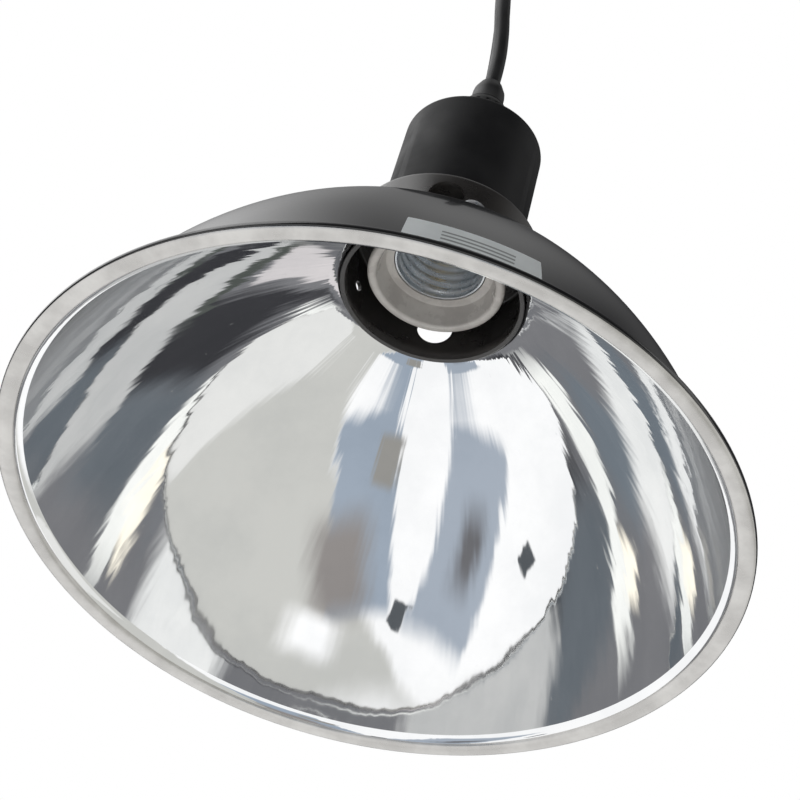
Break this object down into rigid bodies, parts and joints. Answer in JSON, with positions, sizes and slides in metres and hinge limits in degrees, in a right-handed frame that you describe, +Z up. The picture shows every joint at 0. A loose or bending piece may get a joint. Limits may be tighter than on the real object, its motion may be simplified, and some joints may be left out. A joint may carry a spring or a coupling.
{
  "type": "heat lamp fixture",
  "caption": "Deep spun-aluminium dome heat lamp with vented neck, porcelain screw socket, cord grip, cord with inline rocker switch and plug.",
  "frame": {"origin": "centre of the rim's flat underside, on the surface the reflector stands on", "axes": "+Z up along the lamp's axis from the open rim to the cord grip; -Y is the side with the rating label; the free cord lies on the -X side"},
  "size_m": [0.3094, 0.2324, 0.265],
  "materials": {
    "spun_aluminium": "polished inside, gloss black paint outside",
    "black_painted_metal": "satin black powder coat",
    "plated_steel": "bright zinc",
    "black_screws": "blackened",
    "porcelain": "glazed",
    "socket_shell": "bright",
    "brass": "plain",
    "black_nylon": "satin",
    "rocker_plastic": "gloss",
    "black_rubber": "matt",
    "cord_jacket": "satin PVC",
    "wire_black": "plain",
    "wire_white": "plain",
    "label_film": "silver-grey film, blank",
    "tie_strap": "hook-and-loop strap"
  },
  "bodies": {
    "lamp": {"dome_reflector": "spun_aluminium", "vent_neck": "black_painted_metal", "neck_screw": "plated_steel", "neck_screw_nut": "plated_steel", "socket_cap": "black_painted_metal", "cap_screw_1": "black_screws", "cap_screw_2": "black_screws", "cap_screw_3": "black_screws", "porcelain_socket": "porcelain", "screw_shell": "socket_shell", "terminal_live": "brass", "terminal_neutral": "brass", "rivet_live": "brass", "rivet_neutral": "brass", "terminal_screw_live": "brass", "terminal_screw_neutral": "plated_steel", "contact_root": "brass", "socket_bracket": "plated_steel", "bracket_screw_1": "plated_steel", "bracket_screw_2": "plated_steel", "threaded_nipple": "plated_steel", "bracket_nut": "plated_steel", "gland_body": "black_nylon", "gland_seal": "black_rubber", "gland_nut": "black_nylon", "cord_inner": "cord_jacket", "wire_live": "wire_black", "wire_neutral": "wire_white", "rating_label": "label_film", "cord_lead_lamp": "cord_jacket", "switch_base": "black_nylon", "switch_cover": "black_nylon", "switch_screw_1": "plated_steel", "switch_screw_2": "plated_steel", "cord_lead_switch": "cord_jacket", "cord_coil": "cord_jacket", "cord_tie": "tie_strap", "cord_lead_plug": "cord_jacket", "plug_relief": "black_rubber", "plug_body": "black_nylon", "plug_blade_1": "brass", "plug_blade_2": "brass"},
    "contact": {"contact_tongue": "brass"},
    "rocker": {"switch_rocker": "rocker_plastic"}
  },
  "joints": [
    {"name": "contact_spring", "type": "hinge", "parent": "lamp", "child": "contact", "pos_m": [0, 0.0025, 0.1286], "axis": [-1, 0, 0], "range_deg": [0, 14], "stiffness_Nm_per_rad": 0.02},
    {"name": "switch_rocker_pivot", "type": "hinge", "parent": "lamp", "child": "rocker", "pos_m": [-0.134, -0.05, 0.0134], "axis": [1, 0, 0], "range_deg": [0, 16]}
  ]
}
